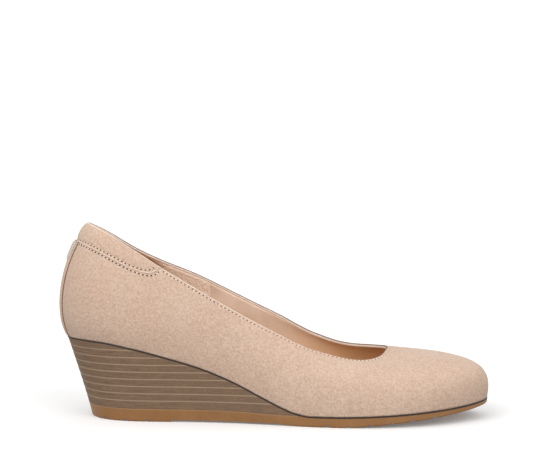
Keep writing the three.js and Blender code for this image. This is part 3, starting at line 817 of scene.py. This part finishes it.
def cuff_thickness(low, up, length):
    """The padded cuff: thin at its edges and where it is sewn, full between them."""
    above = (up - low) * length
    below = np.clip((1 - up) * length - CUFF_TOP, 0, None)
    rise = 1 - np.exp(-(above / 3.2) ** 1.5)
    fall = 1 - np.exp(-(below / 2.4) ** 1.2)
    sewn = 0.28 * np.exp(-((above - ROW_GAP / 2) / 0.55) ** 2)
    full = CLEARANCE + CUFF_THICKNESS
    return (0.1 + 0.3 * np.clip(below / 0.8, 0, 1)) + (full - 0.4) * rise * fall - sewn * fall


def make_cuff():
    """The padded cuff round the back of the collar."""
    spread = np.sin(np.linspace(-1, 1, 240) * math.pi / 2) * 0.998
    t = np.where(spread > 0, spread * CUFF_OUTER, spread * CUFF_INNER)
    length = wall_length(t)
    low = cuff_edge(t)
    top = np.maximum(1 - CUFF_TOP / length, low)
    rows = low + np.linspace(0, 1, 40)[:, None] * (top - low)
    thick = cuff_thickness(low, rows, length)
    outer = offset_surface(t[None, :], rows, thick)
    inner = offset_surface(t[None, :], rows, np.full(rows.shape, 0.02))
    points, faces = closed_slab(outer, inner)
    made = piece("collar_cuff_pad", points, faces, SUEDE, "suede", "collar_cuff")
    points, faces = tube(offset_surface(t, low, 0.2 + 0 * t), 0.26)
    # A pale roll along the cuff's lower edge; its pale colour is painted highlight
    piece("collar_cuff_edge", points, faces, SUEDE_HIGHLIGHT, "suede")


def sew(name, route_of, shares, lift, hole_scale=1.0):
    """Stitches along a route of places round the foot and shares of the wall, with near-black beads between
    them for the needle holes and their painted shade.
    """
    t, v = route_of(shares)
    height = lift(t, v) if callable(lift) else np.full(t.shape, lift)
    route = offset_surface(t, v, height)
    middles, directions, at = along_route(route, STITCH_PITCH)
    t_at = np.interp(at, np.linspace(0, 1, len(t)), t)
    v_at = np.interp(at, np.linspace(0, 1, len(v)), v)
    _, normals, _ = frame_of(t_at, v_at)
    normals -= directions * np.sum(normals * directions, axis=1, keepdims=True)
    normals /= np.linalg.norm(normals, axis=1, keepdims=True)
    half = np.array([STITCH_LENGTH / 2, STITCH_RADIUS * 1.3, STITCH_RADIUS])
    beads(name + "_stitches", middles, directions, normals, half, THREAD_HIGHLIGHT, "suede")
    between = (middles[1:] + middles[:-1]) / 2
    hole = np.array([HOLE_LENGTH / 2, HOLE_RADIUS, 0.2]) * hole_scale
    beads(name + "_hole_shades", between, directions[1:], normals[1:], hole, HOLE_SHADE, "suede")


def make_stitches():
    """The row under the collar's edge and the two rows along the cuff's lower edge."""
    ends = np.array([CUFF_OUTER * 1.02, 1 - CUFF_INNER * 1.02])

    def topline(shares):
        t = ends[0] + shares * (ends[1] - ends[0])
        return t, 1 - TOPLINE_ROW / wall_length(t)

    sew("topline", topline, np.linspace(0, 1, 900), -0.16, 0.75)
    turn = np.sin(np.linspace(-1, 1, 700) * math.pi / 2)

    def cuff_row(lower):
        def row(shares):
            share = shares * (1 + lower / CUFF_LENGTH) * 0.999
            t = np.where(share > 0, share * CUFF_OUTER, share * CUFF_INNER)
            return t, cuff_edge(t, lower)
        return row

    sew("cuff_lower", cuff_row(ROW_GAP / 2), turn, -0.1)

    def on_cuff(t, v):
        return cuff_thickness(cuff_edge(t), v, wall_length(t)) - 0.02

    sew("cuff_upper", cuff_row(-ROW_GAP / 2), turn, on_cuff)


def back_patch(low, high, rows, columns, width, below, thickness, edge):
    """Points and faces of a patch over the back seam with softly rounded side edges."""
    v = np.linspace(low, high, rows)[:, None]
    share = np.sin(np.linspace(-1, 1, columns) * math.pi / 2)[None, :]
    sideways = np.broadcast_to(np.abs(share) * width / 2, (rows, columns))
    wall = np.broadcast_to(v, (rows, columns))
    reach = solve(lambda s: np.abs(surface(s, wall)[..., 1]), sideways,
                  np.zeros(wall.shape), np.full(wall.shape, 0.06))
    t = np.sign(share) * reach
    from_edge = np.minimum((1 - np.abs(share)) * width / 2, np.minimum(v - low, high - v) * BACK_HEIGHT)
    full = 1 - 0.75 * np.exp(-(np.clip(from_edge, 0, None) / edge) ** 1.5)
    full *= 1 - 0.5 * np.exp(-(v * BACK_HEIGHT / 6.0) ** 2)
    outer = offset_surface(t, wall, below + thickness * full)
    inner = offset_surface(t, wall, np.full(wall.shape, below))
    return closed_slab(outer, inner), offset_surface(t, wall, below + thickness * full * 0.4)


def make_back():
    """The strip over the back seam with dark rolls along its edges, painted shadow beside the raised strip,
    and the plain woven tab at its top.
    """
    top = float(share_below_collar(0.0, CUFF_HEIGHT + CLEARANCE))
    tab_low = float(share_below_collar(0.0, CUFF_HEIGHT + CLEARANCE + TAB_HEIGHT))
    low = CLEARANCE / BACK_HEIGHT
    (points, faces), middle = back_patch(low, top, 90, 25, STRIP_WIDTH, 0.02,
                                         CLEARANCE + STRIP_THICKNESS - 0.02, 0.5)
    piece("back_strip_suede", points, faces, SUEDE, "suede", "back_strip")
    for name, column in (("outer", 0), ("inner", -1)):
        points, faces = tube(middle[:, column], 0.3)
        piece("back_strip_edge_shade_" + name, points, faces, STRIP_EDGE_SHADE, "suede")
    below = CLEARANCE + STRIP_THICKNESS + 0.02
    (points, faces), _ = back_patch(tab_low, top, 40, 31, TAB_WIDTH, below,
                                    CLEARANCE + TAB_THICKNESS - 0.02, 0.7)
    piece("heel_tab_woven", points, faces, WOVEN, "suede", "heel_tab")


def make_footbed():
    """The padded footbed, rounded off a little at its edges."""
    count, across = 130, 25
    inside = -UPPER_WALL - CLEARANCE
    side = crowded(2 * count)[: count + 1]
    outer_t, inner_t = side, 1 - side
    share = np.linspace(0, 1, across)[None, :, None]

    def sheet(v_height, lift):
        def edge(t):
            v = solve(lambda s: surface(t, s)[..., 2] - surface(t, 0.0)[..., 2], v_height,
                      np.zeros(t.shape), np.full(t.shape, 0.6))
            return offset_surface(t, v, np.full(t.shape, inside))
        line = edge(outer_t)[:, None] * (1 - share) + edge(inner_t)[:, None] * share
        line[..., 2] = foot_height(line[..., 0]) + lift(np.abs(2 * share[..., 0] - 1))
        return line

    def crown(from_middle):
        rounded = np.sqrt(np.clip(1 - from_middle ** 12, 0, None))
        return INSOLE_THICKNESS - FOOTBED_ROUNDING + FOOTBED_ROUNDING * rounded

    top = sheet(INSOLE_THICKNESS - 1.0, crown)
    bottom = sheet(0.0, lambda from_middle: 0.05 + 0 * from_middle)
    points, faces = closed_slab(top, bottom)
    made = piece("footbed_pad", points, faces[:, ::-1], FOOTBED, "footbed", "insole")


# The sole
wedge_tip = float(solve(lambda x: wedge_line(x) + 2 * CLEARANCE + WEDGE_FRONT - foot_height(x), 0.0,
                        SHOE_LENGTH * BALL_START / 2, SHOE_LENGTH * BALL_START))


def banded_body(t, rows_of, closed, across=14):
    """Points and faces of a body with a wall round its outline and faces straight across."""
    wall = rows_of(t)
    rows, columns = wall.shape[:2]
    points = [wall.reshape(-1, 3)]
    faces = [grid_faces(rows, columns, False, closed)]
    pairs = columns // 2
    back_row = [-i % columns for i in range(pairs + 1)]
    for row, turned in ((0, False), (rows - 1, True)):
        base = sum(len(p) for p in points)
        near = wall[row, :pairs + 1]
        far = wall[row, back_row] if closed else wall[row, ::-1][:pairs + 1]
        share = np.linspace(0, 1, across)[None, :, None]
        sheet = near[:, None] * (1 - share) + far[:, None] * share
        points.append(sheet.reshape(-1, 3))
        grid = grid_faces(*sheet.shape[:2]) + base
        faces.append(grid[:, ::-1] if turned else grid)
    if not closed:
        base = sum(len(p) for p in points)
        first, last = wall[:, 0], wall[:, -1]
        share = np.linspace(0, 1, across)[None, :, None]
        sheet = last[:, None] * (1 - share) + first[:, None] * share
        points.append(sheet.reshape(-1, 3))
        faces.append(grid_faces(*sheet.shape[:2])[:, ::-1] + base)
    return np.concatenate(points), np.concatenate(faces)


def welded(made):
    """Joins the points that lie on each other and turns the faces outward."""
    work = bmesh.new()
    work.from_mesh(made.data)
    bmesh.ops.remove_doubles(work, verts=work.verts, dist=WELD_GAP * MM)
    bmesh.ops.recalc_face_normals(work, faces=work.faces)
    work.to_mesh(made.data)
    work.free()
    return made


def mark_joint(made, strength):
    """Stores for each point how much it belongs to a pale joint line."""
    data = made.data
    flat = np.zeros(len(data.vertices) * 3)
    data.vertices.foreach_get("co", flat)
    points = flat.reshape(-1, 3) / MM - SHIFT
    layer = data.attributes.new("joint", "FLOAT", "POINT")
    layer.data.foreach_set("value", strength(points).astype(np.float32))


def layer_levels():
    """Heights of the joints between the wedge's layers."""
    first = float(wedge_line(0.0)) + CLEARANCE
    count = math.ceil((SEAT_HEIGHT - first) / LAYER_HEIGHT)
    return first + LAYER_HEIGHT * np.arange(1, count)


def near_level(z):
    """Distance of a height from the nearest joint between two layers."""
    return np.abs(z[..., None] - layer_levels()).min(-1)


def make_wedge():
    """The stacked wedge with a shallow groove at each joint of its layers."""
    outer = float(solve(lambda s: values_at(s)[..., 0], wedge_tip, 0.0, 0.4))
    inner = float(solve(lambda s: values_at(1 - s)[..., 0], wedge_tip, 0.0, 0.4))
    spread = np.linspace(-1, 1, 401)
    spread = spread + 0.12 / math.pi * np.sin(2 * math.pi * spread)
    t = np.where(spread > 0, spread * outer, spread * inner)

    def wall(t):
        x = values_at(t)[..., 0]
        low = wedge_line(x) + 0.05
        high = foot_height(x) - FEATHER_LINE
        share = np.linspace(0, 1, 170)[:, None]
        z = low + share * (high - low)
        inset = JOINT_GROOVE * np.exp(-(near_level(z) / JOINT_GROOVE) ** 2)
        return sole_wall(t[None, :], z, inset)

    points, faces = banded_body(t, wall, False)
    made = welded(piece("wedge_stack", points, faces, STACK, "stack", "wedge"))
    mark_joint(made, lambda p: 0.75 * np.exp(-(near_level(p[:, 2]) / (LINE_WIDTH / 2)) ** 4))


def prism(outline):
    """Points and faces of a side-view outline drawn out across the shoe."""
    half = BALL_WIDTH
    near = [(x, -half, z) for x, z in outline]
    far = [(x, half, z) for x, z in outline]
    count = len(outline)
    faces = [tuple(range(count)), tuple(range(2 * count - 1, count - 1, -1))]
    faces += [(i, count + i, count + (i + 1) % count, (i + 1) % count) for i in range(count)]
    return near + far, faces


def groove_middles():
    """Where the cross grooves lie along the shoe."""
    return [row["start"] + i * row["pitch"] for row in (HEEL_TREAD, BALL_TREAD) for i in range(row["count"])]


def sole_cuts():
    """Outlines of the hollow under the arch and of the cross grooves, each cut right through the sole."""
    outlines = [[
        (PAD_LENGTH, CUT_BELOW), (PAD_LENGTH, 0.0), (PAD_LENGTH + ARCH_RISE, ARCH_RISE),
        (ARCH_END - ARCH_RUNOUT, ARCH_RISE), (ARCH_END, 0.0), (ARCH_END, CUT_BELOW),
    ]]
    for x in groove_middles():
        roof = float(lower_face(x)) + TREAD_DEPTH
        spread = TREAD_WIDTH / 2 * (roof - CUT_BELOW) / TREAD_DEPTH
        outlines.append([(x - spread, CUT_BELOW), (x, roof), (x + spread, CUT_BELOW)])
    return outlines


def cut_away(made, outline):
    """Takes a body of one outline, from side to side, out of a piece."""
    points, faces = prism(outline)
    mesh = bpy.data.meshes.new("cutter")
    mesh.from_pydata(placed(points).tolist(), [], [f[::-1] for f in faces])
    cutter = bpy.data.objects.new("cutter", mesh)
    bpy.context.scene.collection.objects.link(cutter)
    modifier = made.modifiers.new("cut", "BOOLEAN")
    modifier.operation = "DIFFERENCE"
    modifier.solver = "EXACT"
    modifier.object = cutter
    bpy.context.view_layer.update()
    cut = bpy.data.meshes.new_from_object(made.evaluated_get(bpy.context.evaluated_depsgraph_get()))
    made.modifiers.remove(modifier)
    made.data = cut
    bpy.data.objects.remove(cutter)


def shade_tread(made):
    """Paints the walls of the cross grooves near-black: painted shade inside the grooves."""
    data = made.data
    data.materials.append(TREAD_SHADE)
    middles = groove_middles()
    for face in data.polygons:
        x, _, z = np.array(face.center) / MM - SHIFT
        gap = min(abs(x - middle) for middle in middles)
        low = float(lower_face(x))
        in_groove = gap < TREAD_WIDTH / 2 and z > low + 0.1 and abs(face.normal.y) < 0.3
        if in_groove and z < low + TREAD_DEPTH:
            face.material_index = 1


def outsole_top(x):
    """Height of the outsole's upper face: under the wedge, then under the upper."""
    joined = np.clip((x - wedge_tip) / 1.5, 0, 1)
    return wedge_line(x) * (1 - joined) + (foot_height(x) - FEATHER_LINE) * joined


def make_outsole():
    """The rubber outsole: rounded lower edge, arch, toe spring and cross grooves."""
    t = crowded(480)

    def wall(t):
        x = values_at(t)[..., 0]
        low, high = lower_face(x), outsole_top(x)
        turn = np.linspace(0, math.pi / 2, 6)
        rows = [(low + SOLE_ROUNDING * (1 - np.sin(a)), SOLE_ROUNDING * (1 - np.cos(a)))
                for a in turn[::-1]]
        rows += [(low + SOLE_ROUNDING + (high - low - SOLE_ROUNDING) * share, 0 * x)
                 for share in np.linspace(0, 1, 9)[1:]]
        return np.stack([sole_wall(t, z, inset) for z, inset in rows])

    points, faces = banded_body(t, wall, True, 24)
    made = welded(piece("outsole_rubber", points, faces, RUBBER, "rubber", "outsole"))
    for outline in sole_cuts():
        cut_away(made, outline)
    made.data.shade_smooth()
    made.data.set_sharp_from_angle(angle=math.radians(SHARP_ANGLE))
    shade_tread(made)
    mark_joint(made, lambda p: 0.7 * np.exp(-((p[:, 2] - outsole_top(p[:, 0])) / 0.4) ** 2)
               * (p[:, 0] < wedge_tip))


def make_feather_line():
    """A thin near-black band where the upper meets its sole: painted shadow of the gap between them."""
    t = crowded(480)
    x = values_at(t)[..., 0]
    high = foot_height(x)
    low = high - FEATHER_LINE
    rings = np.stack([
        sole_wall(t, low, FEATHER_REACH), sole_wall(t, low, -0.05),
        sole_wall(t, (low + high) / 2, -FEATHER_PROUD),
        sole_wall(t, high, -0.05), sole_wall(t, high, FEATHER_REACH),
    ])
    faces = grid_faces(len(rings), len(t), True, True)
    piece("feather_line", rings, faces, FEATHER_SHADE, "stack")


# Stage
def make_stage():
    """A plain pale floor and soft studio lights."""
    bpy.ops.mesh.primitive_plane_add(size=FLOOR_SIZE, location=(0, 0, 0))
    floor = bpy.context.object
    floor.name = "floor"
    material, _, _, shader = new_material("floor")
    shader.inputs["Base Color"].default_value = (0.92, 0.92, 0.92, 1)
    shader.inputs["Emission Color"].default_value = (1, 1, 1, 1)
    shader.inputs["Emission Strength"].default_value = FLOOR_GLOW
    shader.inputs["Roughness"].default_value = 0.9
    shader.inputs["Specular IOR Level"].default_value = 0
    floor.data.materials.append(material)
    floor.visible_diffuse = False
    world = bpy.data.worlds.new("studio")
    world.use_nodes = True
    nodes, links = world.node_tree.nodes, world.node_tree.links
    direction = nodes.new("ShaderNodeTexCoord").outputs["Generated"]
    parts = nodes.new("ShaderNodeSeparateXYZ")
    links.new(direction, parts.inputs["Vector"])
    height = nodes.new("ShaderNodeMapRange")
    height.inputs["From Min"].default_value = -1
    links.new(parts.outputs["Z"], height.inputs["Value"])
    sky = ramp(nodes, links, height.outputs["Result"], SKY)
    links.new(sky, nodes["Background"].inputs["Color"])
    bpy.context.scene.world = world
    bpy.context.scene.view_settings.view_transform = "Standard"
    for name, place, angle, power in SUNS:
        light = bpy.data.lights.new(name, "SUN")
        light.angle = math.radians(angle)
        light.energy = power
        lamp = bpy.data.objects.new(name, light)
        lamp.location = place
        lamp.rotation_mode = "QUATERNION"
        lamp.rotation_quaternion = (-Vector(place)).to_track_quat("-Z", "Y")
        bpy.context.scene.collection.objects.link(lamp)


def make_camera():
    """The camera at the photograph's angle, shifted so that the shoe lies as low as it does there."""
    azimuth, elevation = (math.radians(CAMERA[k]) for k in ("azimuth", "elevation"))
    back = Vector((math.sin(azimuth) * math.cos(elevation), -math.cos(azimuth) * math.cos(elevation),
                   math.sin(elevation)))
    right = Vector((math.cos(azimuth), math.sin(azimuth), 0))
    up = back.cross(right)
    aim_up = (TARGET_ROW - PHOTO_MIDDLE_ROW) * CAMERA["mm_per_pixel"]
    place = Vector(TARGET) + back * CAMERA["distance"]
    look = Vector(TARGET) + up * aim_up - place
    data = bpy.data.cameras.new("camera")
    data.sensor_width = SENSOR
    data.lens = CAMERA["distance"] / CAMERA["mm_per_pixel"] * SENSOR / PHOTO_WIDTH
    data.clip_start, data.clip_end = 0.05, 50
    camera = bpy.data.objects.new("camera", data)
    camera.location = Vector(placed(np.array(place)))
    camera.rotation_mode = "QUATERNION"
    camera.rotation_quaternion = look.to_track_quat("-Z", "Y")
    bpy.context.scene.collection.objects.link(camera)
    bpy.context.scene.camera = camera


make_camera()
make_stage()
make_upper()
make_lining()
make_heel_grip()
make_cuff()
make_stitches()
make_back()
make_footbed()
make_wedge()
make_outsole()
make_feather_line()
